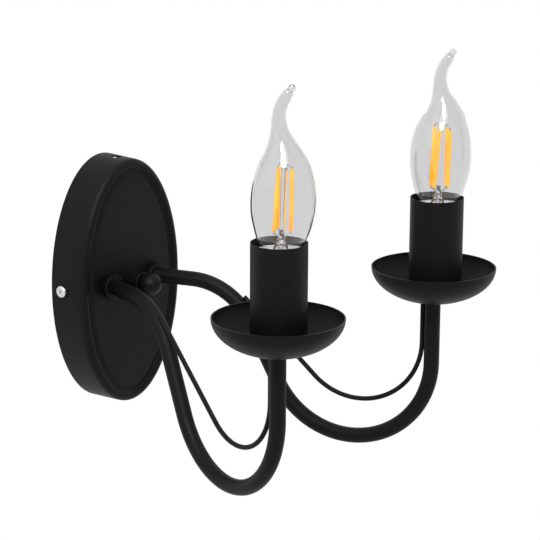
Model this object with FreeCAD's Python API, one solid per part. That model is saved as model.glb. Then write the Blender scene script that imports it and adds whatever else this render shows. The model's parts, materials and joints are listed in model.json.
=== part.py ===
import FreeCAD, Part

import math
import os

from FreeCAD import Rotation, Vector

# Double arm wall sconce, in millimetres. The wall is the plane Y = 0, the sconce stands out of it
# along -Y, +Z is up and +X is to the right for someone who faces the wall. The origin is the centre
# of the wall bracket's back face.

SIDES = {"left": -1, "right": 1}

# Canopy: a pressed oval cover with a rounded rim bead, a groove and a flat field
CANOPY_WIDTH = 88.0
CANOPY_HEIGHT = 153.0
CANOPY_DEPTH = 25.4
CANOPY_SHEET = 1.0
WALL_DRAFT = 0.7
SHOULDER_R = 3.2
RIM_WIDTH = 4.6
RIM_INNER_R = 2.2
GROOVE_INSET = 7.2
GROOVE_DEPTH = 2.4
GROOVE_R = 1.6
FIELD_INSET = 9.8
FIELD_EDGE_R = 1.2
FIELD_DROP = 0.8
FIELD_LAP = 3.0
TOP_HOLE_D = 6.0
TOP_HOLE_Y = 13.0

# Wall bracket: a strap with two tapped ears and an upright tongue
BRACKET_SHEET = 1.5
BRACKET_BEND_R = 2.0
STRAP_HEIGHT = 18.0
EAR_LENGTH = 16.0
EAR_GAP = 0.3
WALL_SLOT_SPACING = 60.0
WALL_SLOT_LENGTH = 9.0
WALL_SLOT_WIDTH = 4.5
TONGUE_WIDTH = 26.0
TONGUE_TOP = 48.0

# Screws and their clearances
SIDE_SCREW_D = 4.0
SIDE_SCREW_LENGTH = 8.0
SIDE_SCREW_HEAD_D = 7.4
SIDE_SCREW_HEAD_H = 2.2
SIDE_SCREW_Y = 9.0
SIDE_SCREW_SEAT = 0.25
EARTH_SCREW_D = 4.0
EARTH_SCREW_HEAD_D = 8.0
EARTH_SCREW_HEAD_H = 2.4
EARTH_SCREW_Z = 14.5
EARTH_WASHER_D = 9.0
EARTH_WASHER_T = 0.8
HEAD_ROUNDING = 0.6
THREAD_FIT = 0.05
HOLE_FIT = 0.2

# Terminal block on the tongue
TERMINAL_PITCH = 9.0
TERMINAL_POLES = 3
TERMINAL_DEPTH = 13.0
TERMINAL_HEIGHT = 16.0
TERMINAL_Z = 33.0
TERMINAL_BORE = 3.6
TERMINAL_SCREW_D = 3.2
TERMINAL_SCREW_LENGTH = 3.8
TERMINAL_SEAT = 0.1
TERMINAL_NOTCH_R = 1.0
INSERT_D = 5.2
INSERT_SETBACK = 1.0

# Centre knob
HUB_Z = 1.0
KNOB_BALL_D = 13.7
KNOB_BALL_REACH = 40.0
KNOB_NECK_D = 8.0
KNOB_FLANGE_D = 12.4
KNOB_FLANGE_T = 2.2
KNOB_FLANGE_REACH = 34.2
KNOB_SPACER_D = 9.4
STUD_D = 6.0
STUD_BACK = 15.5
STUD_DEPTH_IN_BALL = 8.0
STUD_NUT_AF = 10.0
STUD_NUT_H = 5.0
STUD_WASHER_D = 12.0
STUD_WASHER_T = 1.0

# Arms: bent steel tube in a splayed upright plane
ARM_X = 19.4
CUP_X = 71.3
CUP_REACH = 198.4
TUBE_D = 9.2
TUBE_WALL = 1.0
ARM_STRAIGHT = 22.95
ARM_BEND_R = 43.5
ARM_SLOPE = 62.75
ARM_DROP = 86.2

# Collars, hollow threaded nipples and nuts that hold the arms on the canopy
COLLAR_D = 15.6
COLLAR_T = 2.6
COLLAR_EDGE_R = 0.6
COLLAR_BOSS_D = 13.0
COLLAR_BOSS_T = 2.0
NIPPLE_D = 10.0
NIPPLE_BORE = 7.0
NIPPLE_IN_COLLAR = 3.4
NIPPLE_BACK = 15.5
NIPPLE_NUT_AF = 14.0
NIPPLE_NUT_H = 3.5
NIPPLE_WASHER_D = 17.0
NIPPLE_WASHER_T = 1.0

# Decorative rods, bent by hand, so the two differ a little
ROD_D = 2.8
ROD_WELD_GAP = 0.05
ROD_TOP_GAP = 0.3
ROD_SLOPE = {"left": 38.0, "right": 43.5}
ROD_LOW_Z = {"left": -58.8, "right": -61.4}
ROD_ASIDE = {"left": -0.8, "right": 0.0}

# Cups
CUP_RIM_Z = 24.9
CUP_D = 72.6
CUP_CURVE_H = 20.8
CUP_SHEET = 0.8
CUP_FLOOR_D = 24.0

# Bush that carries the cup on the tube, and its lock nut
BUSH_FLANGE_D = 12.4
BUSH_FLANGE_T = 1.5
BUSH_THREAD_D = 10.0
BUSH_TOP = 10.0
BUSH_SPIGOT = 8.0
BUSH_SPIGOT_BORE = 5.4
LOCKNUT_AF = 14.0
LOCKNUT_H = 3.0

# Candle sleeves: they stand loose, so each may rest a little towards its lamp
SLEEVE_D = 31.0
SLEEVE_WALL = 0.5
SLEEVE_TOP_Z = 66.3
SLEEVE_SEAT_GAP = 0.2
SLEEVE_SHIFT = {SIDES["left"]: 0.3, SIDES["right"]: 1.0}

# Lampholders for an E14 cap, each on an angled foot and a little beside the cup's axis
SHIFT_DIRECTION = -50.0
LAMP_SHIFT = 1.2
FOOT_SHEET = 1.0
FOOT_WIDTH = 14.0
FOOT_LEG_WIDTH = 7.0
FOOT_LEG_TOP = 42.0
FOOT_BEND_R = 0.9
HOLDER_TOP_Z = 62.0
HOLDER_D = 25.0
HOLDER_RIM_D = 26.4
HOLDER_RIM_T = 2.0
HOLDER_WAIST_D = 19.0
HOLDER_WAIST_Z = 45.0
HOLDER_STEP_H = 2.0
HOLDER_BOTTOM_Z = 27.0
HOLDER_MOUTH_D = 22.6
HOLDER_THROAT_D = 18.0
HOLDER_MOUTH_H = 2.6
HOLDER_FLOOR = 3.0
SHELL_SCREW_D = 14.4
SHELL_WALL = 0.4
SHELL_LENGTH = 17.0
CONTACT_SHEET = 0.5
CONTACT_WIDTH = 4.0
CONTACT_GAP = 0.1
RIVET_D = 3.0
RIVET_HEAD_D = 5.0
RIVET_HEAD_H = 1.0
RIVET_Z = 38.0
RIVET_LENGTH = 2.2

# Bulbs: candle shape with a bent tip, on an E14 cap; the glass leans a little in its cap
BULB_BASE_Z = 32.0
BULB_LEAN = {SIDES["left"]: 1.4, SIDES["right"]: 2.4}
CAP_THREAD_D = 13.9
CAP_SHEET = 0.3
CAP_SKIRT_D = 16.8
CAP_LENGTH = 26.4
CAP_SKIRT_H = 3.6
CAP_FLARE_H = 2.0
CAP_START = 5.0
TIP_D = 4.4
TIP_H = 1.6
TIP_ROUND_R = 1.0
INSULATOR_LIP = 0.4
INSULATOR_IN_CAP = 2.0
GLASS_WALL = 0.8
GLASS_NECK_D = 15.6
GLASS_NECK_IN_CAP = 2.0
STEM_FLARE_D = 12.6
STEM_FLARE_H = 5.5
STEM_FLARE_T = 1.0
STEM_TAPER_H = 2.0
STEM_TUBE_D = 4.0
STEM_PRESS_H = 13.0
STEM_ROD_D = 1.6
STEM_TOP = 77.0
FILAMENT_D = 2.1
FILAMENT_COUNT = 4
FILAMENT_LOW = 40.5
FILAMENT_HIGH = 75.0
FILAMENT_RING_R = 4.85
FILAMENT_TURN = -11.0
FILAMENT_START = -13.0
WIRE_D = 0.6
TIP_DIRECTION = -50.0
# Body of the glass: height above the foot of the cap, radius
GLASS_BODY = [(29.4, 9.9), (33.0, 11.9), (37.5, 13.9), (44.1, 15.9), (50.8, 17.2), (57.0, 17.5),
              (64.1, 17.1), (70.8, 15.9), (77.5, 13.6), (84.1, 10.2)]
# Tail of the glass: sideways offset of its centre, height, radius across the tail
GLASS_TAIL = [(-1.15, 90.3, 7.2), (-2.5, 96.0, 4.9), (-3.15, 103.0, 3.6), (-2.0, 109.0, 3.15),
              (0.15, 113.5, 2.9), (2.9, 117.9, 2.4), (4.1, 120.2, 1.5)]
GLASS_TIP_SOLID = 3

# Leads
LEAD_D = 1.8
LEAD_PITCH = 2.1
LEAD_START_Y = 8.0
LEAD_START_GAP = 0.3
LEAD_BEND_R = 6.0
LEAD_IN_HOLDER = 0.8

BACK = Vector(0, 1, 0)
FRONT = Vector(0, -1, 0)
UP = Vector(0, 0, 1)

FIELD_FRONT = CANOPY_DEPTH - FIELD_DROP
FIELD_BACK = FIELD_FRONT - CANOPY_SHEET
COLLAR_FRONT = FIELD_FRONT + COLLAR_BOSS_T + COLLAR_T
SPLAY = math.atan2(CUP_X - ARM_X, CUP_REACH - COLLAR_FRONT)
ARM_SPAN = math.hypot(CUP_X - ARM_X, CUP_REACH - COLLAR_FRONT)
CUP_FLOOR_Z = CUP_RIM_Z - CUP_CURVE_H * math.sqrt(1 - (CUP_FLOOR_D / CUP_D) ** 2)
TUBE_TOP_Z = CUP_FLOOR_Z - BUSH_FLANGE_T
FOOT_Z = CUP_FLOOR_Z + CUP_SHEET


def save(name, shapes):
    """Writes one sub-part, which is a solid or a group of separate solids."""
    group = shapes if isinstance(shapes, list) else [shapes]
    shape = group[0] if len(group) == 1 else Part.makeCompound(group)
    shape.exportStep(os.path.join("parts", name + ".step"))


def rounded_path(points, radii):
    """Straight runs through the points, joined by tangent arcs of the radii at the inner points."""
    edges = []
    start = points[0]
    for before, corner, after, radius in zip(points, points[1:], points[2:], radii):
        into = (before - corner).normalize()
        out = (after - corner).normalize()
        half = into.getAngle(out) / 2
        tangent = radius / math.tan(half)
        bisector = (into + out).normalize()
        first = corner + into * tangent
        last = corner + out * tangent
        middle = corner + bisector * (radius / math.sin(half) - radius)
        edges.append(Part.LineSegment(start, first).toShape())
        edges.append(Part.Arc(first, middle, last).toShape())
        start = last
    edges.append(Part.LineSegment(start, points[-1]).toShape())
    return Part.Wire(edges)


def sheet_section(points, radii, sheet, normal):
    """Section of a bent sheet whose middle line runs through the points, in the plane of the normal."""
    runs = [(after - before).normalize() for before, after in zip(points, points[1:])]
    across = [normal.cross(run) for run in runs]
    turns = [before.cross(after).dot(normal) for before, after in zip(runs, runs[1:])]
    faces = []
    for shift in (-sheet / 2, sheet / 2):
        corners = [corner + (before + after) * (shift / (1 + before.dot(after)))
                   for corner, before, after in zip(points[1:], across, across[1:])]
        ends = [points[0] + across[0] * shift, points[-1] + across[-1] * shift]
        bends = [radius - shift * math.copysign(1, turn) for radius, turn in zip(radii, turns)]
        faces.append((rounded_path(ends[:1] + corners + ends[1:], bends), ends))
    (low, low_ends), (high, high_ends) = faces
    closing = [Part.makeLine(first, last) for first, last in zip(low_ends, high_ends)]
    return Part.Face(Part.Wire(Part.__sortEdges__(low.Edges + high.Edges + closing)))


def sweep(path, section_radius):
    """A round bar along a path of lines and arcs."""
    start = path.OrderedEdges[0]
    direction = start.tangentAt(start.FirstParameter)
    ring = Part.makeCircle(section_radius, start.valueAt(start.FirstParameter), direction)
    return path.makePipeShell([Part.Wire(ring)], True, False)


def turned(outline, place=Vector(0, 0, 0), axis=UP):
    """Revolves an outline of (radius, height) points about an axis through place."""
    points = [Vector(radius, 0, height) for radius, height in outline]
    face = Part.Face(Part.makePolygon(points + points[:1]))
    solid = face.revolve(Vector(0, 0, 0), UP, 360)
    return placed(solid, place, axis)


def placed(solid, place, axis):
    """Moves a solid made about +Z at the origin so that it stands along axis at place."""
    solid.Placement = FreeCAD.Placement(place, Rotation(UP, axis))
    return solid


def ring(outer_d, inner_d, height, place, axis=UP):
    tube = Part.makeCylinder(outer_d / 2, height, place, axis)
    return tube.cut(Part.makeCylinder(inner_d / 2, height, place, axis))


def hex_nut(across_flats, bore_d, height, place, axis):
    """A hexagon nut with chamfered corners."""
    corner = across_flats / math.sqrt(3)
    points = [Vector(corner * math.cos(k * math.pi / 3), corner * math.sin(k * math.pi / 3), 0)
              for k in range(7)]
    body = Part.Face(Part.makePolygon(points)).extrude(UP * height)
    chamfer = (corner - across_flats / 2) / math.tan(math.radians(60))
    low, high = across_flats / 2, corner
    body = body.common(turned([(0, 0), (low, 0), (high, chamfer), (high, height - chamfer),
                               (low, height), (0, height)]))
    body = body.cut(Part.makeCylinder(bore_d / 2, height))
    return placed(body, place, axis)


def pan_screw(shank_d, length, head_d, head_h, place, axis):
    """A pan head screw: the head stands along axis from place, the shank runs the other way."""
    head = Part.makeCylinder(head_d / 2, head_h)
    top = [edge for edge in head.Edges if edge.BoundBox.ZMin > head_h / 2]
    head = head.makeFillet(head_h * HEAD_ROUNDING, top)
    shank = Part.makeCylinder(shank_d / 2, length, Vector(0, 0, -length))
    return placed(head.fuse(shank).removeSplitter(), place, axis)


def oval(inset=0.0):
    """The canopy's outline in the wall plane, at the middle of its sheet or further in."""
    half_width = (CANOPY_WIDTH - CANOPY_SHEET) / 2 - inset
    half_height = (CANOPY_HEIGHT - CANOPY_SHEET) / 2 - inset
    curve = Part.Ellipse(Vector(0, 0, half_height), Vector(half_width, 0, 0), Vector(0, 0, 0))
    return Part.Wire(curve.toShape())


def canopy_wall_x(reach):
    """Half the canopy's outer width at a distance in front of the wall."""
    return CANOPY_WIDTH / 2 - WALL_DRAFT * reach / CANOPY_DEPTH


def canopy():
    """Pressed sheet: its section is drawn at the top of the oval and swept round it."""
    top = (CANOPY_HEIGHT - CANOPY_SHEET) / 2
    crest = CANOPY_DEPTH - CANOPY_SHEET / 2
    field = FIELD_FRONT - CANOPY_SHEET / 2
    corners = [(0, 0), (WALL_DRAFT, crest), (RIM_WIDTH, crest), (GROOVE_INSET, crest - GROOVE_DEPTH),
               (FIELD_INSET, field), (FIELD_INSET + FIELD_LAP, field)]
    points = [Vector(0, -height, top - inset) for inset, height in corners]
    radii = [SHOULDER_R, RIM_INNER_R, GROOVE_R, FIELD_EDGE_R]
    profile = sheet_section(points, radii, CANOPY_SHEET, Vector(1, 0, 0))
    rim = oval().makePipeShell([profile.OuterWire], True, True)
    field_face = Part.Face(oval(FIELD_INSET + FIELD_LAP / 2))
    field_face.translate(FRONT * FIELD_BACK)
    shell = rim.fuse(field_face.extrude(FRONT * CANOPY_SHEET)).removeSplitter()
    shell = shell.cut(Part.makeBox(CANOPY_WIDTH, CANOPY_SHEET, CANOPY_HEIGHT,
                                   Vector(-CANOPY_WIDTH / 2, 0, -CANOPY_HEIGHT / 2)))
    for side in SIDES.values():
        hub = Vector(side * ARM_X, 0, HUB_Z)
        shell = shell.cut(Part.makeCylinder(NIPPLE_D / 2 + HOLE_FIT, CANOPY_DEPTH, hub, FRONT))
        screw = Vector(0, -SIDE_SCREW_Y, 0)
        shell = shell.cut(Part.makeCylinder(SIDE_SCREW_D / 2 + HOLE_FIT, CANOPY_WIDTH, screw,
                                            Vector(side, 0, 0)))
    shell = shell.cut(Part.makeCylinder(STUD_D / 2 + HOLE_FIT, CANOPY_DEPTH, Vector(0, 0, HUB_Z), FRONT))
    return shell.cut(Part.makeCylinder(TOP_HOLE_D / 2, CANOPY_HEIGHT, Vector(0, -TOP_HOLE_Y, 0), UP))


def ear_x():
    """Outer face of the bracket's ears, just inside the canopy's side walls."""
    return canopy_wall_x(CANOPY_DEPTH) - CANOPY_SHEET - EAR_GAP


def slot(length, width, centre, depth):
    """A straight slot with round ends, cut along Y."""
    straight = length - width
    body = Part.makeBox(straight, depth, width, centre + Vector(-straight / 2, -depth, -width / 2))
    for end in (-1, 1):
        place = centre + Vector(end * straight / 2, 0, 0)
        body = body.fuse(Part.makeCylinder(width / 2, depth, place, FRONT))
    return body


def wall_bracket():
    """Strap with two ears bent forward, and a tongue that carries the terminals."""
    middle = BRACKET_SHEET / 2
    ear = ear_x() - middle
    corners = [(-ear, EAR_LENGTH), (-ear, middle), (ear, middle), (ear, EAR_LENGTH)]
    points = [Vector(x, -reach, -STRAP_HEIGHT / 2) for x, reach in corners]
    bends = [BRACKET_BEND_R + middle] * 2
    bracket = sheet_section(points, bends, BRACKET_SHEET, UP).extrude(UP * STRAP_HEIGHT)
    for side in SIDES.values():
        hole = Part.makeCylinder(SIDE_SCREW_D / 2 + THREAD_FIT, CANOPY_WIDTH,
                                 Vector(0, -SIDE_SCREW_Y, 0), Vector(side, 0, 0))
        bracket = bracket.cut(hole)
        centre = Vector(side * WALL_SLOT_SPACING / 2, 0, 0)
        bracket = bracket.cut(slot(WALL_SLOT_LENGTH, WALL_SLOT_WIDTH, centre, BRACKET_SHEET))
    tongue = Part.makeBox(TONGUE_WIDTH, BRACKET_SHEET, TONGUE_TOP,
                          Vector(-TONGUE_WIDTH / 2, -BRACKET_SHEET, 0))
    bracket = bracket.fuse(tongue).removeSplitter()
    earth = Part.makeCylinder(EARTH_SCREW_D / 2 + THREAD_FIT, BRACKET_SHEET,
                              Vector(0, 0, EARTH_SCREW_Z), FRONT)
    return bracket.cut(earth)


def side_screws():
    seat = canopy_wall_x(SIDE_SCREW_Y) + SIDE_SCREW_SEAT
    return [pan_screw(SIDE_SCREW_D, SIDE_SCREW_LENGTH, SIDE_SCREW_HEAD_D, SIDE_SCREW_HEAD_H,
                      Vector(side * seat, -SIDE_SCREW_Y, 0), Vector(side, 0, 0))
            for side in SIDES.values()]


def earth_screw():
    seat = BRACKET_SHEET + EARTH_WASHER_T
    return pan_screw(EARTH_SCREW_D, seat, EARTH_SCREW_HEAD_D, EARTH_SCREW_HEAD_H,
                     Vector(0, -seat, EARTH_SCREW_Z), FRONT)


def earth_washer():
    return ring(EARTH_WASHER_D, EARTH_SCREW_D + 2 * THREAD_FIT, EARTH_WASHER_T,
                Vector(0, -BRACKET_SHEET, EARTH_SCREW_Z), FRONT)


def terminal_xs():
    first = -TERMINAL_PITCH * (TERMINAL_POLES - 1) / 2
    return [first + k * TERMINAL_PITCH for k in range(TERMINAL_POLES)]


def terminal_axis_y():
    return -(BRACKET_SHEET + TERMINAL_SEAT + TERMINAL_DEPTH / 2)


def terminal_screw_zs():
    return [TERMINAL_Z - TERMINAL_HEIGHT / 4, TERMINAL_Z + TERMINAL_HEIGHT / 4]


def terminal_block():
    """Moulded three pole block, bored for its inserts, with a well over each screw."""
    width = TERMINAL_PITCH * TERMINAL_POLES
    low = Vector(-width / 2, -(BRACKET_SHEET + TERMINAL_SEAT + TERMINAL_DEPTH),
                 TERMINAL_Z - TERMINAL_HEIGHT / 2)
    block = Part.makeBox(width, TERMINAL_DEPTH, TERMINAL_HEIGHT, low)
    for x in terminal_xs():
        bore = Part.makeCylinder(INSERT_D / 2 + THREAD_FIT, TERMINAL_HEIGHT,
                                 Vector(x, terminal_axis_y(), low.z), UP)
        block = block.cut(bore)
        for z in terminal_screw_zs():
            well = Part.makeCylinder(TERMINAL_SCREW_D / 2 + HOLE_FIT, TERMINAL_DEPTH,
                                     Vector(x, terminal_axis_y(), z), FRONT)
            block = block.cut(well)
    for x in terminal_xs()[:-1]:
        neck = x + TERMINAL_PITCH / 2
        for z in (low.z, low.z + TERMINAL_HEIGHT):
            notch = Part.makeCylinder(TERMINAL_NOTCH_R, TERMINAL_DEPTH, Vector(neck, low.y, z), BACK)
            block = block.cut(notch)
    return block


def terminal_inserts():
    """Brass barrels with a bore for the wire and tapped holes for the screws."""
    barrels = []
    for x in terminal_xs():
        foot = Vector(x, terminal_axis_y(), TERMINAL_Z - TERMINAL_HEIGHT / 2 + INSERT_SETBACK)
        barrel = ring(INSERT_D, TERMINAL_BORE, TERMINAL_HEIGHT - 2 * INSERT_SETBACK, foot)
        for z in terminal_screw_zs():
            tap = Part.makeCylinder(TERMINAL_SCREW_D / 2 + THREAD_FIT, INSERT_D,
                                    Vector(x, terminal_axis_y(), z), FRONT)
            barrel = barrel.cut(tap)
        barrels.append(barrel)
    return barrels


def terminal_screws():
    """Grub screws, each in a tapped hole of its barrel."""
    inner = TERMINAL_BORE / 4
    return [Part.makeCylinder(TERMINAL_SCREW_D / 2, TERMINAL_SCREW_LENGTH,
                              Vector(x, terminal_axis_y() - inner, z), FRONT)
            for x in terminal_xs() for z in terminal_screw_zs()]


def on_hub(reach):
    return Vector(0, -reach, HUB_Z)


def centre_knob():
    """Turned ball with a neck and a flange, tapped from behind for the stud."""
    ball = Part.makeSphere(KNOB_BALL_D / 2, on_hub(KNOB_BALL_REACH))
    flange_back = KNOB_FLANGE_REACH - KNOB_FLANGE_T
    neck = Part.makeCylinder(KNOB_NECK_D / 2, KNOB_BALL_REACH - flange_back, on_hub(flange_back), FRONT)
    flange = Part.makeCylinder(KNOB_FLANGE_D / 2, KNOB_FLANGE_T, on_hub(flange_back), FRONT)
    flange = flange.makeFillet(KNOB_FLANGE_T / 4, [edge for edge in flange.Edges
                                                   if edge.Length > KNOB_FLANGE_D])
    knob = ball.fuse([neck, flange]).removeSplitter()
    depth = KNOB_BALL_REACH - flange_back
    return knob.cut(Part.makeCylinder(STUD_D / 2 + THREAD_FIT, depth, on_hub(flange_back), FRONT))


def knob_spacer():
    length = KNOB_FLANGE_REACH - KNOB_FLANGE_T - FIELD_FRONT
    return ring(KNOB_SPACER_D, STUD_D + 2 * THREAD_FIT, length, on_hub(FIELD_FRONT), FRONT)


def knob_stud():
    flange_back = KNOB_FLANGE_REACH - KNOB_FLANGE_T
    length = flange_back + STUD_DEPTH_IN_BALL - STUD_BACK - HOLE_FIT
    return Part.makeCylinder(STUD_D / 2, length, on_hub(STUD_BACK), FRONT)


def knob_washer():
    return ring(STUD_WASHER_D, STUD_D + 2 * THREAD_FIT, STUD_WASHER_T, on_hub(FIELD_BACK), BACK)


def knob_nut():
    return hex_nut(STUD_NUT_AF, STUD_D + 2 * THREAD_FIT, STUD_NUT_H,
                   on_hub(FIELD_BACK - STUD_WASHER_T), BACK)


def arm_place(side, reach):
    return Vector(side * ARM_X, -reach, HUB_Z)


def arm_point(side, span, height):
    """A point of the arm's plane: span is measured outward from the collar's front."""
    return Vector(side * (ARM_X + span * math.sin(SPLAY)), -(COLLAR_FRONT + span * math.cos(SPLAY)), height)


def beside_arm(side, distance):
    """Sideways step out of the arm's plane."""
    return Vector(math.cos(SPLAY), side * math.sin(SPLAY), 0) * distance


def bend_radius(run, drop, slope):
    """Radius of a bend that turns a line of the slope upright.

    The line starts at height zero, the bend ends upright at run and its lowest point is at drop.
    """
    sine, cosine = math.sin(slope), math.cos(slope)
    return (run * sine - drop * cosine) / (1 + sine - cosine)


def arm_corners(side):
    """Corners and radii of the tube's middle line."""
    slope = math.radians(ARM_SLOPE)
    first = ARM_STRAIGHT + ARM_BEND_R * math.tan(slope / 2)
    run = ARM_SPAN - first
    radius = bend_radius(run, ARM_DROP, slope)
    corners = [arm_point(side, 0, HUB_Z), arm_point(side, first, HUB_Z),
               arm_point(side, ARM_SPAN, HUB_Z - run * math.tan(slope)),
               arm_point(side, ARM_SPAN, TUBE_TOP_Z)]
    return corners, [ARM_BEND_R, radius]


def arm_tube(side):
    """Bent tube, mitred where it meets the collar."""
    corners, radii = arm_corners(side)
    path = rounded_path([arm_point(side, -TUBE_D / 2, HUB_Z)] + corners[1:], radii)
    tube = sweep(path, TUBE_D / 2).cut(sweep(path, TUBE_D / 2 - TUBE_WALL))
    behind = Part.makeBox(2 * CUP_X, COLLAR_FRONT, 2 * TUBE_D, Vector(-CUP_X, -COLLAR_FRONT, HUB_Z - TUBE_D))
    return tube.cut(behind)


def arm_rod(side, name):
    """The rod leaves the tube where the first bend is parallel to it, and ends beside the leg."""
    slope = math.radians(ROD_SLOPE[name])
    aside = ROD_ASIDE[name]
    off = math.sqrt(((TUBE_D + ROD_D) / 2 + ROD_WELD_GAP) ** 2 - aside ** 2)
    start_span = ARM_STRAIGHT + (ARM_BEND_R + off) * math.sin(slope)
    start_z = HUB_Z - ARM_BEND_R + (ARM_BEND_R + off) * math.cos(slope)
    run = ARM_SPAN - off - start_span
    radius = bend_radius(run, start_z - ROD_LOW_Z[name], slope)
    path = rounded_path([arm_point(side, start_span, start_z),
                         arm_point(side, ARM_SPAN - off, start_z - run * math.tan(slope)),
                         arm_point(side, ARM_SPAN - off, TUBE_TOP_Z - ROD_TOP_GAP)], [radius])
    rod = sweep(path, ROD_D / 2)
    rod.translate(beside_arm(side, aside))
    return rod


def arm_collar(side):
    """Flange that stands on a boss, tapped from behind for the nipple, with a hole for the leads."""
    boss = Part.makeCylinder(COLLAR_BOSS_D / 2, COLLAR_BOSS_T, arm_place(side, FIELD_FRONT), FRONT)
    flange = Part.makeCylinder(COLLAR_D / 2, COLLAR_T, arm_place(side, FIELD_FRONT + COLLAR_BOSS_T), FRONT)
    flange = flange.makeFillet(COLLAR_EDGE_R, [edge for edge in flange.Edges if edge.Length > COLLAR_D])
    collar = boss.fuse(flange)
    tapped = Part.makeCylinder(NIPPLE_D / 2 + THREAD_FIT, NIPPLE_IN_COLLAR,
                               arm_place(side, FIELD_FRONT), FRONT)
    bore = Part.makeCylinder(NIPPLE_BORE / 2, COLLAR_BOSS_T + COLLAR_T, arm_place(side, FIELD_FRONT), FRONT)
    return collar.cut(tapped).cut(bore)


def arm_nipple(side):
    length = FIELD_FRONT + NIPPLE_IN_COLLAR - HOLE_FIT - NIPPLE_BACK
    return ring(NIPPLE_D, NIPPLE_BORE, length, arm_place(side, NIPPLE_BACK), FRONT)


def nipple_washer(side):
    return ring(NIPPLE_WASHER_D, NIPPLE_D + 2 * THREAD_FIT, NIPPLE_WASHER_T,
                arm_place(side, FIELD_BACK), BACK)


def nipple_nut(side):
    return hex_nut(NIPPLE_NUT_AF, NIPPLE_D + 2 * THREAD_FIT, NIPPLE_NUT_H,
                   arm_place(side, FIELD_BACK - NIPPLE_WASHER_T), BACK)


def cup_axis(side, height=0.0):
    return Vector(side * CUP_X, -CUP_REACH, height)


def shifted(distance):
    """Step from the cup's axis in the direction in which lamp and sleeve stand off it."""
    angle = math.radians(SHIFT_DIRECTION)
    return Vector(math.cos(angle), math.sin(angle), 0) * distance


def lamp_shift():
    return shifted(LAMP_SHIFT)


def lamp_axis(side, height=0.0):
    return cup_axis(side, height) + lamp_shift()


def cup_curve_height(radius, inset):
    """Height of the bowl's surface at a radius; the inset is 0 outside and the sheet inside."""
    return CUP_RIM_Z - (CUP_CURVE_H - inset) * math.sqrt(1 - (radius / (CUP_D / 2 - inset)) ** 2)


def cup_face(inset):
    """Half section of the bowl: an elliptic flank over a flat floor."""
    rim_r = CUP_D / 2 - inset
    depth = CUP_CURVE_H - inset
    floor_z = CUP_FLOOR_Z + inset
    turn = math.asin((CUP_RIM_Z - floor_z) / depth)
    centre = Vector(0, 0, CUP_RIM_Z)
    curve = Part.Ellipse(centre + Vector(rim_r, 0, 0), centre + Vector(0, 0, depth), centre)
    flank = Part.ArcOfEllipse(curve, 2 * math.pi - turn, 2 * math.pi).toShape()
    corners = [Vector(rim_r * math.cos(turn), 0, floor_z), Vector(0, 0, floor_z), centre,
               centre + Vector(rim_r, 0, 0)]
    lines = [Part.makeLine(first, last) for first, last in zip(corners, corners[1:])]
    return Part.Face(Part.Wire(Part.__sortEdges__([flank] + lines)))


def cup(side):
    """Pressed bowl of even sheet with a hole for the bush."""
    outer = cup_face(0).revolve(Vector(0, 0, 0), UP, 360)
    inner = cup_face(CUP_SHEET).revolve(Vector(0, 0, 0), UP, 360)
    bowl = outer.cut(inner)
    bowl = bowl.cut(Part.makeCylinder(BUSH_THREAD_D / 2 + HOLE_FIT, CUP_RIM_Z))
    bowl.translate(cup_axis(side))
    return bowl


def cup_bush(side):
    """Flange under the cup, threaded spigot through it and a plain spigot down into the tube."""
    thread = BUSH_THREAD_D / 2
    spigot = TUBE_D / 2 - TUBE_WALL - THREAD_FIT
    flange = BUSH_FLANGE_D / 2
    bore = BUSH_SPIGOT_BORE / 2
    outline = [(bore, TUBE_TOP_Z - BUSH_SPIGOT), (spigot, TUBE_TOP_Z - BUSH_SPIGOT), (spigot, TUBE_TOP_Z),
               (flange, TUBE_TOP_Z), (flange, CUP_FLOOR_Z), (thread, CUP_FLOOR_Z),
               (thread, CUP_FLOOR_Z + BUSH_TOP), (bore, CUP_FLOOR_Z + BUSH_TOP)]
    return turned(outline, cup_axis(side))


def cup_locknut(side):
    return hex_nut(LOCKNUT_AF, BUSH_THREAD_D + 2 * THREAD_FIT, LOCKNUT_H,
                   cup_axis(side, FOOT_Z + FOOT_SHEET), UP)


def candle_sleeve(side):
    """Thin tube that stands loose in the bowl round the lampholder."""
    shift = SLEEVE_SHIFT[side]
    seat = cup_curve_height(SLEEVE_D / 2 + shift, CUP_SHEET) + SLEEVE_SEAT_GAP
    foot = cup_axis(side, seat) + shifted(shift)
    return ring(SLEEVE_D, SLEEVE_D - 2 * SLEEVE_WALL, SLEEVE_TOP_Z - seat, foot)


def leg_x():
    """Inner face of the foot's leg, against the lampholder's waist."""
    return HOLDER_WAIST_D / 2 + THREAD_FIT


def holder_foot(side):
    """Angled strip: the foot lies under the lock nut and the leg carries the lampholder."""
    reach = leg_x() + FOOT_SHEET
    corner = lamp_shift() + Vector(0, -FOOT_LEG_WIDTH / 2, FOOT_Z)
    foot = Part.makeCylinder(FOOT_WIDTH / 2, FOOT_SHEET, Vector(0, 0, FOOT_Z))
    arm = Part.makeBox(reach, FOOT_LEG_WIDTH, FOOT_SHEET, corner)
    leg = Part.makeBox(FOOT_SHEET, FOOT_LEG_WIDTH, FOOT_LEG_TOP - FOOT_Z, corner + Vector(leg_x(), 0, 0))
    strip = foot.fuse([arm, leg]).removeSplitter()
    bend = [edge for edge in strip.Edges
            if abs(edge.BoundBox.XMin - corner.x - reach) < 1e-6 and edge.BoundBox.ZMax - FOOT_Z < 1e-6]
    strip = strip.makeFillet(FOOT_BEND_R, bend)
    strip = strip.cut(Part.makeCylinder(BUSH_THREAD_D / 2 + THREAD_FIT, FOOT_Z + FOOT_SHEET))
    hole = Part.makeCylinder(RIVET_D / 2 + THREAD_FIT, FOOT_SHEET,
                             lamp_shift() + Vector(leg_x(), 0, RIVET_Z), Vector(1, 0, 0))
    strip = strip.cut(hole)
    strip.translate(cup_axis(side))
    return strip


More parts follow.
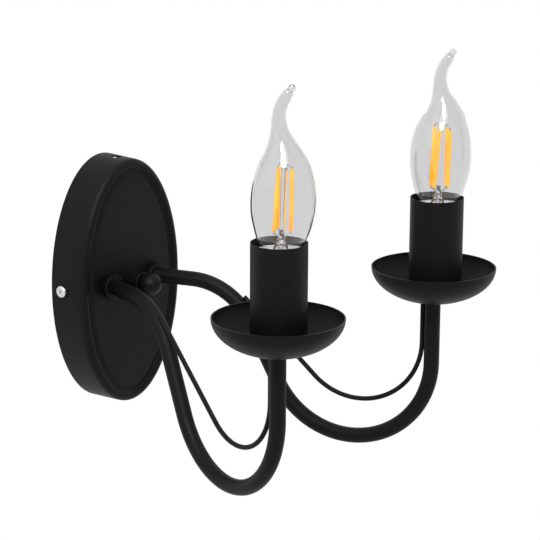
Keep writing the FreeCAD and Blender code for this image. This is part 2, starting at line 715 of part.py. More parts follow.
def holder_rivets():
    """One rivet through each leg into the lampholder's waist."""
    rivets = []
    for side in SIDES.values():
        outer = leg_x() + FOOT_SHEET
        head = Part.makeCylinder(RIVET_HEAD_D / 2, RIVET_HEAD_H, Vector(outer, 0, RIVET_Z), Vector(1, 0, 0))
        shank = Part.makeCylinder(RIVET_D / 2, RIVET_LENGTH, Vector(outer, 0, RIVET_Z), Vector(-1, 0, 0))
        rivet = head.fuse(shank).removeSplitter()
        rivet.translate(lamp_axis(side))
        rivets.append(rivet)
    return rivets


def shell_low_z():
    return HOLDER_BOTTOM_Z + HOLDER_FLOOR + HOLDER_FLOOR


def lampholder(side):
    """White moulded holder: rim and flared mouth over a throat for the screw shell."""
    shell_r = SHELL_SCREW_D / 2 + SHELL_WALL + THREAD_FIT
    rim_low = HOLDER_TOP_Z - HOLDER_RIM_T
    throat_z = HOLDER_TOP_Z - HOLDER_MOUTH_H
    shell_top = shell_low_z() + SHELL_LENGTH
    floor = HOLDER_BOTTOM_Z + HOLDER_FLOOR
    waist = HOLDER_WAIST_D / 2
    outline = [(0, HOLDER_BOTTOM_Z), (waist, HOLDER_BOTTOM_Z), (waist, HOLDER_WAIST_Z),
               (HOLDER_D / 2, HOLDER_WAIST_Z + HOLDER_STEP_H), (HOLDER_D / 2, rim_low),
               (HOLDER_RIM_D / 2, rim_low),
               (HOLDER_RIM_D / 2, HOLDER_TOP_Z), (HOLDER_MOUTH_D / 2, HOLDER_TOP_Z),
               (HOLDER_THROAT_D / 2, throat_z), (HOLDER_THROAT_D / 2, shell_top), (shell_r, shell_top),
               (shell_r, floor), (0, floor)]
    body = turned(outline)
    leads = LEAD_PITCH / 2
    for offset in (-leads, leads):
        place = Vector(0, 0, HOLDER_BOTTOM_Z) + beside_arm(side, offset)
        body = body.cut(Part.makeCylinder(LEAD_D / 2 + HOLE_FIT, 2 * LEAD_IN_HOLDER, place))
    depth = RIVET_LENGTH - FOOT_SHEET + THREAD_FIT
    pocket = Part.makeCylinder(RIVET_D / 2 + THREAD_FIT, depth, Vector(leg_x(), 0, RIVET_Z), Vector(-1, 0, 0))
    body = body.cut(pocket)
    body.translate(lamp_axis(side))
    return body


def holder_shell(side):
    """Thin screw shell that takes the bulb's cap."""
    return ring(SHELL_SCREW_D + 2 * SHELL_WALL, SHELL_SCREW_D, SHELL_LENGTH, lamp_axis(side, shell_low_z()))


def holder_contact(side):
    """Sprung strip on the holder's floor, bent up under the bulb's tip."""
    low = HOLDER_BOTTOM_Z + HOLDER_FLOOR + CONTACT_SHEET / 2
    high = BULB_BASE_Z - CONTACT_GAP - CONTACT_SHEET / 2
    half = SHELL_SCREW_D / 4
    points = [Vector(half, -CONTACT_WIDTH / 2, low), Vector(-half, -CONTACT_WIDTH / 2, low),
              Vector(-half, -CONTACT_WIDTH / 2, high), Vector(half / 2, -CONTACT_WIDTH / 2, high)]
    bends = [CONTACT_SHEET] * 2
    strip = sheet_section(points, bends, CONTACT_SHEET, BACK).extrude(BACK * CONTACT_WIDTH)
    strip.translate(lamp_axis(side))
    return strip


def bulb_z(height):
    return BULB_BASE_Z + height


def bulb_tip(side):
    """Solder contact at the foot of the bulb."""
    tip = Part.makeCylinder(TIP_D / 2, TIP_H, Vector(0, 0, BULB_BASE_Z))
    low = [edge for edge in tip.Edges if edge.BoundBox.ZMax < BULB_BASE_Z + TIP_H / 2]
    tip = tip.makeFillet(TIP_ROUND_R, low)
    tip.translate(lamp_axis(side))
    return tip


def bulb_insulator(side):
    """Glass cone between the tip and the cap's screw shell."""
    low = bulb_z(TIP_H)
    inside = CAP_THREAD_D / 2 - CAP_SHEET - THREAD_FIT
    high = bulb_z(CAP_START + INSULATOR_IN_CAP)
    outline = [(0, low), (TIP_D / 2 + INSULATOR_LIP, low), (inside, bulb_z(CAP_START)), (inside, high),
               (0, high)]
    return turned(outline, lamp_axis(side))


def bulb_cap(side):
    """Thin cap: plain where the thread is, then a flare and the skirt round the glass neck."""
    thread = CAP_THREAD_D / 2
    skirt = CAP_SKIRT_D / 2
    flare_z = CAP_LENGTH - CAP_SKIRT_H - CAP_FLARE_H
    skirt_z = CAP_LENGTH - CAP_SKIRT_H
    outline = [(thread, CAP_START), (thread, flare_z), (skirt, skirt_z), (skirt, CAP_LENGTH),
               (skirt - CAP_SHEET, CAP_LENGTH), (skirt - CAP_SHEET, skirt_z), (thread - CAP_SHEET, flare_z),
               (thread - CAP_SHEET, CAP_START)]
    return turned([(radius, bulb_z(height)) for radius, height in outline], lamp_axis(side))


def tip_way():
    angle = math.radians(TIP_DIRECTION)
    return Vector(math.cos(angle), math.sin(angle), 0)


def leaned(solid, side):
    """Tilts a piece of the bulb towards its tip's side, about the middle of the neck."""
    solid.rotate(lamp_axis(side, bulb_z(CAP_LENGTH)), UP.cross(tip_way()), BULB_LEAN[side])
    return solid


def tail_points(side):
    """Middle line of the bent tail, which leans in the direction of the tip."""
    return [lamp_axis(side, bulb_z(height)) + tip_way() * offset for offset, height, radius in GLASS_TAIL]


def glass_sections(side, wall):
    """Circles up the body and across the tail, set in by the wall."""
    neck_low = lamp_axis(side, bulb_z(CAP_LENGTH - GLASS_NECK_IN_CAP))
    neck_high = lamp_axis(side, bulb_z(CAP_LENGTH))
    sections = [(neck_low, UP, GLASS_NECK_D / 2), (neck_high, UP, GLASS_NECK_D / 2)]
    sections += [(lamp_axis(side, bulb_z(height)), UP, radius) for height, radius in GLASS_BODY]
    line = [sections[-2][0], sections[-1][0]] + tail_points(side)
    curve = Part.BSplineCurve()
    curve.interpolate(line)
    tail = GLASS_TAIL[:-GLASS_TIP_SOLID] if wall else GLASS_TAIL
    for (offset, height, radius), point in zip(tail, line[2:]):
        sections.append((point, curve.tangent(curve.parameter(point))[0], radius))
    return [Part.Wire(Part.makeCircle(radius - wall, place, axis)) for place, axis, radius in sections]


def bulb_glass(side):
    """Blown envelope: the hollow stops short of the tip, and the neck is open below."""
    outer = Part.makeLoft(glass_sections(side, 0.0), True, False)
    inner = Part.makeLoft(glass_sections(side, GLASS_WALL), True, False)
    return leaned(outer.cut(inner), side)


def bulb_stem(side):
    """Flared glass stem in the neck, its pressed seal and the rod between the filaments."""
    low = CAP_LENGTH - GLASS_NECK_IN_CAP
    tube = STEM_TUBE_D / 2
    rod = STEM_ROD_D / 2
    outline = [(0, low), (STEM_FLARE_D / 2, low), (STEM_FLARE_D / 2, low + STEM_FLARE_T),
               (tube + STEM_FLARE_T, low + STEM_FLARE_H), (tube, low + STEM_FLARE_H + STEM_TAPER_H),
               (tube, low + STEM_PRESS_H), (rod, low + STEM_PRESS_H + STEM_FLARE_T), (rod, STEM_TOP),
               (0, STEM_TOP)]
    return leaned(turned([(radius, bulb_z(height)) for radius, height in outline], lamp_axis(side)), side)


def filament_ends(side):
    """Lower and upper end of each filament: the ring of them is twisted."""
    ends = []
    for k in range(FILAMENT_COUNT):
        angle = math.radians(FILAMENT_START + k * 360 / FILAMENT_COUNT)
        pair = []
        for height, turn in ((FILAMENT_LOW, 0.0), (FILAMENT_HIGH, math.radians(FILAMENT_TURN))):
            way = Vector(math.cos(angle + turn), math.sin(angle + turn), 0)
            pair.append(lamp_axis(side, bulb_z(height)) + way * FILAMENT_RING_R)
        ends.append(pair)
    return ends


def bar(first, last, diameter):
    span = last - first
    return Part.makeCylinder(diameter / 2, span.Length, first, span)


def filaments(side):
    return [leaned(bar(low, high, FILAMENT_D), side) for low, high in filament_ends(side)]


def filament_wires(side):
    """Short wires from the stem to both ends of each filament."""
    wires = []
    for low, high in filament_ends(side):
        along = (high - low).normalize()
        for end, shift, stem_r in ((low, -1, STEM_TUBE_D / 2), (high, 1, STEM_ROD_D / 2)):
            outer = end + along * (shift * (WIRE_D / 2 + THREAD_FIT))
            axis = lamp_axis(side, outer.z)
            away = (outer - axis).normalize()
            wires.append(leaned(bar(axis + away * (stem_r + THREAD_FIT), outer, WIRE_D), side))
    return wires


def arm_leads(side):
    """Two insulated leads from the terminals through nipple and tube to the lampholder."""
    block_low = TERMINAL_Z - TERMINAL_HEIGHT / 2
    corners, radii = arm_corners(side)
    run = [Vector(side * ARM_X, -LEAD_START_Y, HUB_Z)] + corners[:-1]
    run += [cup_axis(side, CUP_FLOOR_Z + BUSH_TOP), lamp_axis(side, HOLDER_BOTTOM_Z - LEAD_IN_HOLDER),
            lamp_axis(side, HOLDER_BOTTOM_Z + LEAD_IN_HOLDER)]
    leads = []
    for step, pole_x in ((-LEAD_PITCH / 2, LEAD_PITCH / 2), (LEAD_PITCH / 2, TERMINAL_PITCH)):
        start = Vector(side * pole_x, -LEAD_START_Y, block_low - LEAD_START_GAP)
        points = [start] + [point + beside_arm(side, side * step) for point in run]
        path = rounded_path(points, [LEAD_BEND_R, NIPPLE_D] + radii + [LEAD_BEND_R] * 2)
        leads.append(sweep(path, LEAD_D / 2))
    return leads


def main():
    os.makedirs("parts", exist_ok=True)
    save("canopy", canopy())
    save("wall_bracket", wall_bracket())
    save("side_screws", side_screws())
    save("earth_screw", earth_screw())
    save("earth_washer", earth_washer())
    save("terminal_block", terminal_block())
    save("terminal_inserts", terminal_inserts())
    save("terminal_screws", terminal_screws())
    save("centre_knob", centre_knob())
    save("knob_spacer", knob_spacer())
    save("knob_stud", knob_stud())
    save("knob_washer", knob_washer())
    save("knob_nut", knob_nut())
    save("holder_rivets", holder_rivets())
    for name, side in SIDES.items():
        save(name + "_arm_tube", arm_tube(side))
        save(name + "_arm_rod", arm_rod(side, name))
        for piece in (arm_collar, arm_nipple, nipple_washer, nipple_nut, cup, cup_bush, cup_locknut,
                      candle_sleeve, holder_foot, lampholder, holder_shell, holder_contact, bulb_tip,
                      bulb_insulator, bulb_cap, bulb_glass, bulb_stem, filaments, filament_wires, arm_leads):
            save(name + "_" + piece.__name__, piece(side))


main()
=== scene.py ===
"""Looks of a double arm wall sconce: finishes, finer bulbs and side screws, stage, light and camera."""

import json
import math

import bmesh
import bpy
from mathutils import Matrix, Quaternion, Vector

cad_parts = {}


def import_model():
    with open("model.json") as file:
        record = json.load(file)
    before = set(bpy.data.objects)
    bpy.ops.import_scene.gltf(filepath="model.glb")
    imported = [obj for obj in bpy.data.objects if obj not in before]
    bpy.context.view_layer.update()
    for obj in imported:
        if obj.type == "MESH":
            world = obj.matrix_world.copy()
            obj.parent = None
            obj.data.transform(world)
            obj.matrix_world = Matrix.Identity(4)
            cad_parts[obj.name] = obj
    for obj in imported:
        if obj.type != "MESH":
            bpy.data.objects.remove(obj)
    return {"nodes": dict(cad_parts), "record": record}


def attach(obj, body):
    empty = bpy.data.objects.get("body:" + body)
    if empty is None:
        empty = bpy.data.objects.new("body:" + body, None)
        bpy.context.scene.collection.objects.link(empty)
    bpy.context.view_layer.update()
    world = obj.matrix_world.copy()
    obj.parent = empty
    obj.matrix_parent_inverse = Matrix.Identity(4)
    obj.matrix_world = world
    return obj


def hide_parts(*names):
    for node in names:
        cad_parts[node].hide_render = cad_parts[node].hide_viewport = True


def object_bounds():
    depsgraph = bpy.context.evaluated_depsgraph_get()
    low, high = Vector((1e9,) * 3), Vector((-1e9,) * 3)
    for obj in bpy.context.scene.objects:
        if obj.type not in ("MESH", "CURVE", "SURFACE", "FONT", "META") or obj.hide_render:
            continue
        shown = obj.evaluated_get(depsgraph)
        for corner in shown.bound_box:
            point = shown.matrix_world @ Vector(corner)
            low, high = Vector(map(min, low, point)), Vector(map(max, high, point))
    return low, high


MM = 0.001
UP = Vector((0, 0, 1))
SIDES = {"left": -1, "right": 1}

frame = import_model()
cad_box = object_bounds()
nodes = frame["nodes"]


# ---------------------------------------------------------------- materials

# Most values of a noise lie between these two
NOISE_LOW, NOISE_HIGH = 0.3, 0.7
# Colour sockets of the Mix node, by number because its other sockets share their names
MIX_DARK, MIX_LIGHT, MIX_RESULT = 6, 7, 2


class Shader:
    """A node material built step by step round one Principled shader."""

    def __init__(self, name, color, roughness, metallic=0.0, specular=0.5):
        self.material = bpy.data.materials.new(name)
        self.material.use_nodes = True
        self.tree = self.material.node_tree
        self.shader = self.tree.nodes["Principled BSDF"]
        self.output = self.tree.nodes["Material Output"]
        self.set("Base Color", (*color, 1.0))
        self.set("Roughness", roughness)
        self.set("Metallic", metallic)
        self.set("Specular IOR Level", specular)
        self.coords = None

    def set(self, socket, value):
        self.shader.inputs[socket].default_value = value

    def node(self, kind, **values):
        made = self.tree.nodes.new(kind)
        for key, value in values.items():
            setattr(made, key, value)
        return made

    def link(self, source, target):
        self.tree.links.new(source, target)

    def position(self):
        """The object's own coordinates, in metres."""
        if self.coords is None:
            self.coords = self.node("ShaderNodeTexCoord")
        return self.coords.outputs["Object"]

    def noise(self, size, detail=2.0, stretch=(1, 1, 1)):
        """Noise whose grains are about size metres across."""
        mapping = self.node("ShaderNodeMapping")
        mapping.inputs["Scale"].default_value = Vector(stretch) / size
        self.link(self.position(), mapping.inputs["Vector"])
        texture = self.node("ShaderNodeTexNoise")
        texture.inputs["Scale"].default_value = 1.0
        texture.inputs["Detail"].default_value = detail
        self.link(mapping.outputs["Vector"], texture.inputs["Vector"])
        return texture.outputs["Fac"]

    def spread(self, noise, low, high):
        """Maps the usual values of a noise to the range from low to high."""
        remap = self.node("ShaderNodeMapRange")
        remap.inputs["From Min"].default_value = NOISE_LOW
        remap.inputs["From Max"].default_value = NOISE_HIGH
        remap.inputs["To Min"].default_value = low
        remap.inputs["To Max"].default_value = high
        self.link(noise, remap.inputs["Value"])
        return remap.outputs["Result"]

    def vary_color(self, noise, dark, light):
        """Varies the base colour between dark and light by a noise."""
        mix = self.node("ShaderNodeMix", data_type="RGBA")
        self.link(self.spread(noise, 0.0, 1.0), mix.inputs["Factor"])
        mix.inputs[MIX_DARK].default_value = (*dark, 1.0)
        mix.inputs[MIX_LIGHT].default_value = (*light, 1.0)
        self.link(mix.outputs[MIX_RESULT], self.shader.inputs["Base Color"])

    def vary_roughness(self, noise, low, high):
        """Varies the roughness between low and high by a noise."""
        self.link(self.spread(noise, low, high), self.shader.inputs["Roughness"])

    def bump(self, noise, height, strength):
        """Adds height metres of relief by a noise, on top of any relief before it."""
        relief = self.node("ShaderNodeBump")
        relief.inputs["Strength"].default_value = strength
        relief.inputs["Distance"].default_value = height
        self.link(noise, relief.inputs["Height"])
        taken = self.shader.inputs["Normal"]
        if taken.is_linked:
            self.link(taken.links[0].from_socket, relief.inputs["Normal"])
        self.link(relief.outputs["Normal"], taken)


def powder_coat():
    """Matt black powder coat: orange peel, a fine sandy grain and slightly uneven gloss."""
    coat = Shader("black_powder_coat", (0.003, 0.003, 0.0031), 0.5, specular=0.14)
    grain = coat.noise(0.0008, detail=3.0)
    peel = coat.noise(0.0026, detail=1.0)
    cloud = coat.noise(0.03)
    coat.vary_color(grain, (0.0015, 0.0015, 0.0016), (0.004, 0.004, 0.0041))
    coat.vary_roughness(cloud, 0.47, 0.53)
    coat.bump(peel, 0.00008, 0.6)
    coat.bump(grain, 0.00008, 0.8)
    return coat.material


def plated_steel(name):
    """Bright zinc plating: cloudy, with a fine grain."""
    zinc = Shader(name, (0.62, 0.64, 0.66), 0.3, metallic=1.0)
    cloud = zinc.noise(0.004, detail=4.0)
    zinc.vary_color(cloud, (0.5, 0.52, 0.54), (0.7, 0.71, 0.72))
    zinc.vary_roughness(cloud, 0.24, 0.38)
    zinc.bump(zinc.noise(0.0006, detail=3.0), 0.00002, 0.4)
    return zinc.material


def bare_metal(name, dark, light):
    """Smooth metal with a slightly cloudy colour and gloss."""
    metal = Shader(name, light, 0.28, metallic=1.0)
    cloud = metal.noise(0.003, detail=4.0)
    metal.vary_color(cloud, dark, light)
    metal.vary_roughness(cloud, 0.22, 0.36)
    return metal.material


def moulded(name, dark, light, roughness):
    """Moulded plastic, or the dark insulator of a bulb's cap, with a faint grain."""
    body = Shader(name, light, roughness)
    body.vary_color(body.noise(0.006), dark, light)
    body.bump(body.noise(0.0005), 0.00002, 0.4)
    return body.material


def glass(name, color, tint, density):
    """Glass: color dims what passes each face, and tint and density what runs far in its wall."""
    clear = Shader(name, color, 0.0)
    clear.set("IOR", 1.5)
    clear.set("Transmission Weight", 1.0)
    absorb = clear.node("ShaderNodeVolumeAbsorption")
    absorb.inputs["Color"].default_value = (*tint, 1.0)
    absorb.inputs["Density"].default_value = density
    clear.link(absorb.outputs["Volume"], clear.output.inputs["Volume"])
    return clear.material


def filament_coat_with_painted_glow():
    """Patchy yellow-orange coating; a painted glow of its own colour keeps it bright in the unlit bulb."""
    coat = Shader("filament_coating", (0.95, 0.48, 0.04), 0.55)
    coat.vary_color(coat.noise(0.006, stretch=(1, 1, 0.5)), (1.0, 0.34, 0.004), (1.0, 0.52, 0.015))
    # Painted glow: the strips are unlit, and this faint emission keeps them bright inside the glass
    coat.set("Emission Color", (1.0, 0.43, 0.015, 1.0))
    coat.set("Emission Strength", 0.4)
    coat.bump(coat.noise(0.0008), 0.00004, 0.5)
    return coat.material


looks = {
    "black_powder_coat": powder_coat(),
    "zinc_plated_steel": plated_steel("zinc_plated_steel"),
    "white_terminal_plastic": moulded("white_terminal_plastic", (0.74, 0.74, 0.72), (0.8, 0.8, 0.78), 0.45),
    "terminal_brass": bare_metal("terminal_brass", (0.62, 0.42, 0.16), (0.75, 0.54, 0.24)),
    "white_holder_plastic": moulded("white_holder_plastic", (0.76, 0.76, 0.74), (0.82, 0.82, 0.8), 0.4),
    "plated_shell": bare_metal("plated_shell", (0.55, 0.54, 0.5), (0.68, 0.67, 0.63)),
    "contact_brass": bare_metal("contact_brass", (0.6, 0.4, 0.15), (0.74, 0.53, 0.23)),
    "lead_insulation": moulded("lead_insulation", (0.62, 0.62, 0.6), (0.68, 0.68, 0.66), 0.5),
    "solder": bare_metal("solder", (0.45, 0.45, 0.46), (0.6, 0.6, 0.62)),
    "dark_cap_glass": moulded("dark_cap_glass", (0.01, 0.01, 0.014), (0.02, 0.02, 0.026), 0.15),
    "cap_aluminium": bare_metal("cap_aluminium", (0.56, 0.56, 0.56), (0.7, 0.7, 0.7)),
    "clear_glass": glass("clear_glass", (0.8, 0.8, 0.805), (0.5, 0.5, 0.5), 60.0),
    "stem_glass": glass("stem_glass", (1.0, 1.0, 1.0), (0.6, 0.6, 0.6), 15.0),
    "filament_coating": filament_coat_with_painted_glow(),
    "lead_in_wire": plated_steel("lead_in_wire"),
}

slot_of = {entry["node"]: entry["material_slot"] for entry in frame["record"]["subparts"]}

# Edges that bend by less than this, in degrees, are shaded smooth; vertices this close are joined first
SMOOTH_BELOW = 35
WELD_WITHIN = 0.001 * MM


def smoothing():
    """Modifier tree that joins split vertices and shades gentle edges smooth."""
    tree = bpy.data.node_groups.new("smooth_by_angle", "GeometryNodeTree")
    tree.interface.new_socket("Geometry", in_out="INPUT", socket_type="NodeSocketGeometry")
    tree.interface.new_socket("Geometry", in_out="OUTPUT", socket_type="NodeSocketGeometry")
    first = tree.nodes.new("NodeGroupInput")
    last = tree.nodes.new("NodeGroupOutput")
    weld = tree.nodes.new("GeometryNodeMergeByDistance")
    weld.inputs["Distance"].default_value = WELD_WITHIN
    angle = tree.nodes.new("GeometryNodeInputMeshEdgeAngle")
    compare = tree.nodes.new("FunctionNodeCompare")
    compare.operation = "LESS_THAN"
    compare.inputs[1].default_value = math.radians(SMOOTH_BELOW)
    edges = tree.nodes.new("GeometryNodeSetShadeSmooth")
    edges.domain = "EDGE"
    faces = tree.nodes.new("GeometryNodeSetShadeSmooth")
    faces.domain = "FACE"
    tree.links.new(first.outputs[0], weld.inputs["Geometry"])
    tree.links.new(weld.outputs["Geometry"], faces.inputs["Geometry"])
    tree.links.new(faces.outputs["Geometry"], edges.inputs["Geometry"])
    tree.links.new(angle.outputs["Unsigned Angle"], compare.inputs[0])
    tree.links.new(compare.outputs["Result"], edges.inputs["Shade Smooth"])
    tree.links.new(edges.outputs["Geometry"], last.inputs[0])
    return tree


smooth_tree = smoothing()


def dress(piece, slot):
    """Gives a piece one finish."""
    piece.data.materials.clear()
    piece.data.materials.append(looks[slot])


def smooth(piece):
    modifier = piece.modifiers.new("smooth", "NODES")
    modifier.node_group = smooth_tree


for name, node in nodes.items():
    dress(node, slot_of[name])
    smooth(node)

# Of each bush only the flange under its cup shows, and the photograph has it black like the cup
for side in SIDES:
    dress(nodes[f"{side}_cup_bush"], "black_powder_coat")


# ---------------------------------------------------------------- mesh tools

def add_piece(name, mesh, slot, body, replaced):
    """Turns a bmesh into a named, finished piece that rides on a body and stands for a CAD node."""
    bmesh.ops.recalc_face_normals(mesh, faces=mesh.faces)
    data = bpy.data.meshes.new(name)
    mesh.to_mesh(data)
    mesh.free()
    made = bpy.data.objects.new(name, data)
    bpy.context.scene.collection.objects.link(made)
    dress(made, slot)
    smooth(made)
    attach(made, body)
    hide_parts(replaced)
    return made


def skin(mesh, rings, matrix, closed=False):
    """Joins rings of as many points each into a surface; a ring of one point closes an end."""
    loops = [[mesh.verts.new(matrix @ point) for point in ring] for ring in rings]
    pairs = list(zip(loops, loops[1:]))
    if closed:
        pairs.append((loops[-1], loops[0]))
    for low, high in pairs:
        count = max(len(low), len(high))
        for k in range(count):
            after = (k + 1) % count
            corners = [low[k % len(low)], low[after % len(low)],
                       high[after % len(high)], high[k % len(high)]]
            mesh.faces.new(list(dict.fromkeys(corners)))


def round_angles(count):
    """Angles of points spaced evenly round a full turn, in radians."""
    return [2 * math.pi * k / count for k in range(count)]


def ring_about(middle, first, second, radius, count):
    """Points of a circle about middle, in the plane of two unit vectors."""
    return [middle + (first * math.cos(a) + second * math.sin(a)) * radius for a in round_angles(count)]


def circle(radius, height, count, flat=1.0, turn=0.0):
    """Points round the Z axis; flat squeezes them along Y, and turn, in radians, then turns them."""
    ring = []
    for angle in round_angles(count):
        point = Vector((radius * math.cos(angle), radius * flat * math.sin(angle), 0))
        point.rotate(Quaternion(UP, turn))
        ring.append(point + UP * height)
    return ring


def smooth_line(points, steps):
    """A curve through points of any number of values, with even steps between them."""
    ends = [2 * points[0] - points[1]] + list(points) + [2 * points[-1] - points[-2]]
    line = []
    for before, first, last, after in zip(ends, ends[1:], ends[2:], ends[3:]):
        for k in range(steps):
            t = k / steps
            line.append(0.5 * (2 * first + (last - before) * t
                               + (2 * before - 5 * first + 4 * last - after) * t ** 2
                               + (3 * first - before - 3 * last + after) * t ** 3))
    line.append(points[-1].copy())
    return line


def rope(mesh, line, radii, count, matrix):
    """A round bar along a line, with a radius for each of its points."""
    rings = []
    across = None
    for k, point in enumerate(line):
        along = (line[min(k + 1, len(line) - 1)] - line[max(k - 1, 0)]).normalized()
        if across is None:
            across = along.orthogonal().normalized()
        across = (across - along * across.dot(along)).normalized()
        rings.append(ring_about(point, across, along.cross(across), radii[k], count))
    skin(mesh, [[line[0]]] + rings + [[line[-1]]], matrix)


def level_way(degrees):
    """Level unit vector at an azimuth, which counts from +X towards +Y."""
    angle = math.radians(degrees)
    return Vector((math.cos(angle), math.sin(angle), 0))


def outward(point):
    """Level unit vector from the Z axis towards a point."""
    return Vector((point.x, point.y, 0)).normalized()


# ---------------------------------------------------------------- bulbs

# Sizes here are in mm, and angles in degrees unless a comment says radians.
# Where each bulb stands in the frame: its cup's axis, its step beside that axis, its cap's foot, its lean
CUP_X, CUP_REACH = 71.3, 198.4
BULB_SHIFT = 1.2
BULB_BASE_Z = 32.0
BULB_LEAN = {"left": 1.4, "right": 2.4}
# Both tips bend, and both bulbs step aside and lean, this way
TIP_WAY = level_way(-50.0)
CAP_LENGTH = 26.4


def bulb_matrix(side):
    """From mm above the cap's foot on the bulb's axis to the frame in metres, without the lean."""
    place = Vector((SIDES[side] * CUP_X, -CUP_REACH, BULB_BASE_Z)) + TIP_WAY * BULB_SHIFT
    return Matrix.Scale(MM, 4) @ Matrix.Translation(place)


def leaned_matrix(side):
    """The same, tilted about the neck towards the tip's side."""
    neck = Matrix.Translation((0, 0, CAP_LENGTH))
    lean = Matrix.Rotation(math.radians(BULB_LEAN[side]), 4, UP.cross(TIP_WAY))
    return bulb_matrix(side) @ neck @ lean @ neck.inverted()


# Envelope: sideways offset of its middle line, height above the cap's foot, outer radius
NECK = [(0, 24.4, 7.8), (0, 26.4, 7.8), (0, 29.4, 9.9), (0, 33.0, 11.9), (0, 37.5, 13.9)]
ENVELOPE = {
    "left": NECK + [(0.2, 44.1, 15.9), (0.3, 50.8, 17.2), (0.4, 57.0, 17.5), (0.4, 64.1, 16.95),
                    (0.4, 70.8, 15.6), (0.4, 77.5, 13.3), (-0.1, 84.1, 9.8), (-1.6, 90.3, 6.65),
                    (-2.85, 96.0, 4.65), (-3.35, 103.0, 3.6), (-2.0, 108.6, 3.35), (0.0, 112.3, 3.1),
                    (1.5, 114.9, 2.5)],
    "right": NECK + [(0, 44.1, 15.9), (0, 50.8, 17.25), (-0.1, 57.0, 17.6), (-0.2, 64.1, 17.35),
                     (0, 70.8, 16.25), (0.5, 77.5, 14.0), (0.8, 84.1, 10.75), (-0.3, 90.3, 7.45),
                     (-2.4, 96.0, 4.9), (-3.25, 103.0, 3.6), (-2.1, 108.6, 3.25), (0.0, 112.3, 3.05),
                     (1.4, 114.9, 2.5)],
}
ENVELOPE_WALL = 0.7
ENVELOPE_STEPS, ENVELOPE_COUNT = 6, 112
# Above TAIL_LOW each tail is drawn out by its own factor
TAIL_LOW = 84.1
TAIL_STRETCH = {"left": 1.01, "right": 1.055}
# Bead at the tip: sideways offset, height, radius, and the latitudes of its rings
BEAD_OFFSET, BEAD_Z, BEAD_R = 2.95, 116.9, 2.15
BEAD_LATITUDES = range(-35, 90, 10)
# Round top of the hollow under the bead: the latitudes of its rings, and how far its point stands past them
HOLLOW_LATITUDES = (25, 45, 65, 80)
HOLLOW_POINT = 0.05


def drawn_out(side, height):
    """Height of a point of the envelope once its tail is drawn out."""
    return height + max(0.0, height - TAIL_LOW) * (TAIL_STRETCH[side] - 1)


def bent_rings(profile, end):
    """Rings of a profile about its bent middle line, closed by a point at end."""
    across = Vector((-TIP_WAY.y, TIP_WAY.x, 0))
    rings = []
    for k, row in enumerate(profile):
        low, high = profile[max(k - 1, 0)], profile[min(k + 1, len(profile) - 1)]
        # A ring tilts only where the line runs towards TIP_WAY, because tilts the other way kink the outline
        along = (TIP_WAY * max(0.0, high.x - low.x) + UP * (high.y - low.y)).normalized()
        middle = TIP_WAY * row.x + UP * row.y
        rings.append(ring_about(middle, along.cross(across), across, row.z, ENVELOPE_COUNT))
    return rings + [[TIP_WAY * end.x + UP * end.y]]


def envelope(side):
    """Blown glass: outer face with a bead at the tip, and the hollow inside it."""
    foot, *others = ENVELOPE[side]
    points = [Vector((offset, drawn_out(side, height), radius)) for offset, height, radius in others]
    rows = [Vector(foot)] + smooth_line(points, ENVELOPE_STEPS)
    bead = Vector((BEAD_OFFSET, drawn_out(side, BEAD_Z), 0))
    way = (bead - Vector((rows[-1].x, rows[-1].y, 0))).normalized()
    outer = list(rows)
    for latitude in BEAD_LATITUDES:
        angle = math.radians(latitude)
        centre = bead + way * (BEAD_R * math.sin(angle))
        outer.append(Vector((centre.x, centre.y, BEAD_R * math.cos(angle))))
    inner = [Vector((row.x, row.y, row.z - ENVELOPE_WALL)) for row in rows[:-1]]
    along = (inner[-1] - inner[-2]).normalized()
    hollow_r = rows[-2].z - ENVELOPE_WALL
    for latitude in HOLLOW_LATITUDES:
        angle = math.radians(latitude)
        centre = rows[-2] + along * hollow_r * math.sin(angle)
        inner.append(Vector((centre.x, centre.y, hollow_r * math.cos(angle))))
    hollow = bent_rings(inner, inner[-1] + along * HOLLOW_POINT)
    mesh = bmesh.new()
    skin(mesh, hollow[::-1] + bent_rings(outer, bead + way * BEAD_R), leaned_matrix(side))
    made = add_piece(f"{side}_envelope", mesh, "clear_glass", f"{side}_bulb", f"{side}_bulb_glass")
    made.visible_shadow = False


# Stem: radius, how flat it is pressed, height
STEM = [(6.3, 1, 24.4), (6.3, 1, 25.0), (5.8, 1, 26.4), (5.0, 1, 28.6), (4.2, 1, 30.8), (3.5, 1, 32.6),
        (2.7, 1, 34.4), (2.2, 1, 35.8), (2.1, 0.95, 37.0), (2.5, 0.6, 38.2), (2.6, 0.5, 39.2),
        (2.0, 0.6, 40.2), (1.35, 1, 41.2), (1.3, 1, 43.0), (1.3, 1, 60.0), (1.3, 1, 75.0), (1.5, 1, 75.9),
        (1.3, 1, 76.7), (0.7, 1, 77.2)]
STEM_STEPS, STEM_COUNT = 3, 32
# How the pinch is turned, in radians, and how far the rod's point stands past its last ring
STEM_TURN = 0.4
STEM_POINT = 0.15
# The flare is hollow: its wall, and the height under which it has an inner face
STEM_WALL, STEM_HOLLOW_TOP = 0.7, 34.0


def stem(side):
    """Pressed glass stem with a flare below and the rod between the filaments."""
    rows = smooth_line([Vector(row) for row in STEM], STEM_STEPS)
    outer = [circle(row.x, row.z, STEM_COUNT, row.y, STEM_TURN) for row in rows]
    inner = [circle(row.x - STEM_WALL, row.z, STEM_COUNT) for row in rows if row.z < STEM_HOLLOW_TOP]
    hollow_top = UP * (inner[-1][0].z + STEM_WALL)
    rod_top = UP * (rows[-1].z + STEM_POINT)
    mesh = bmesh.new()
    skin(mesh, [[hollow_top]] + inner[::-1] + outer + [[rod_top]], leaned_matrix(side))
    made = add_piece(f"{side}_stem", mesh, "stem_glass", f"{side}_bulb", f"{side}_bulb_stem")
    made.visible_shadow = False


